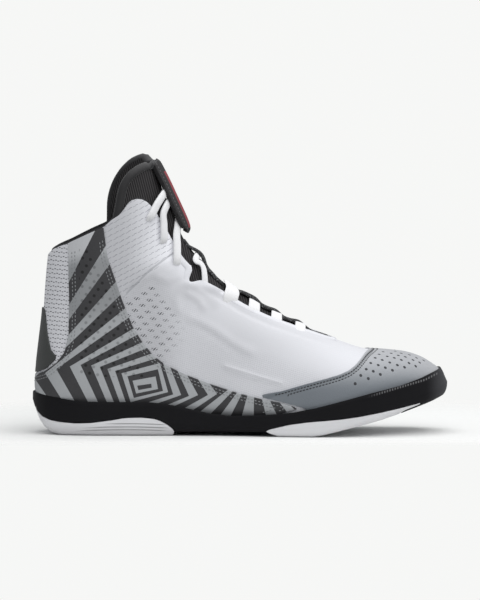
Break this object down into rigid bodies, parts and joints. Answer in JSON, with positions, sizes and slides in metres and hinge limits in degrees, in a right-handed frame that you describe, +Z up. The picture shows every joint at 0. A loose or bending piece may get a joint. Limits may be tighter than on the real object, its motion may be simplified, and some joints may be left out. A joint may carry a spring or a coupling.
{
  "type": "wrestling shoe",
  "caption": "High-top wrestling shoe for the right foot, empty and laced, with a thin split-tread sole, padded dark tongue, grey toe cap and banded side panel.",
  "frame": {"origin": "centre of the heel tread's flat resting face, on the ground", "axes": "+X from the heel towards the toe, +Y from the outer side of the foot towards the inner side, +Z up out of the collar"},
  "size_m": [0.288, 0.096, 0.194],
  "materials": {
    "black_rubber": "matte",
    "white_rubber": "satin",
    "white_knit": "matte",
    "black_knit": "matte",
    "grey_foam": "matte",
    "grey_leather": "satin",
    "banded_film": "matte",
    "dark_moulding": "matte",
    "black_webbing": "matte",
    "white_lace": "matte"
  },
  "bodies": {
    "root": {"outsole_cup": "black_rubber", "heel_tread": "white_rubber", "forefoot_tread": "white_rubber", "upper": "white_knit", "tongue": "black_knit", "insole": "grey_foam", "collar_lining": "black_knit", "toe_cap": "grey_leather", "side_wrap": "banded_film", "heel_counter": "dark_moulding", "tongue_tab": "black_knit", "lace_keeper": "black_webbing", "lace_top_crossing": "white_lace", "lace_crossing_2": "white_lace", "lace_crossing_3": "white_lace", "lace_crossing_4": "white_lace", "lace_crossing_5": "white_lace", "lace_crossing_6": "white_lace", "lace_crossing_7": "white_lace"}
  },
  "joints": []
}
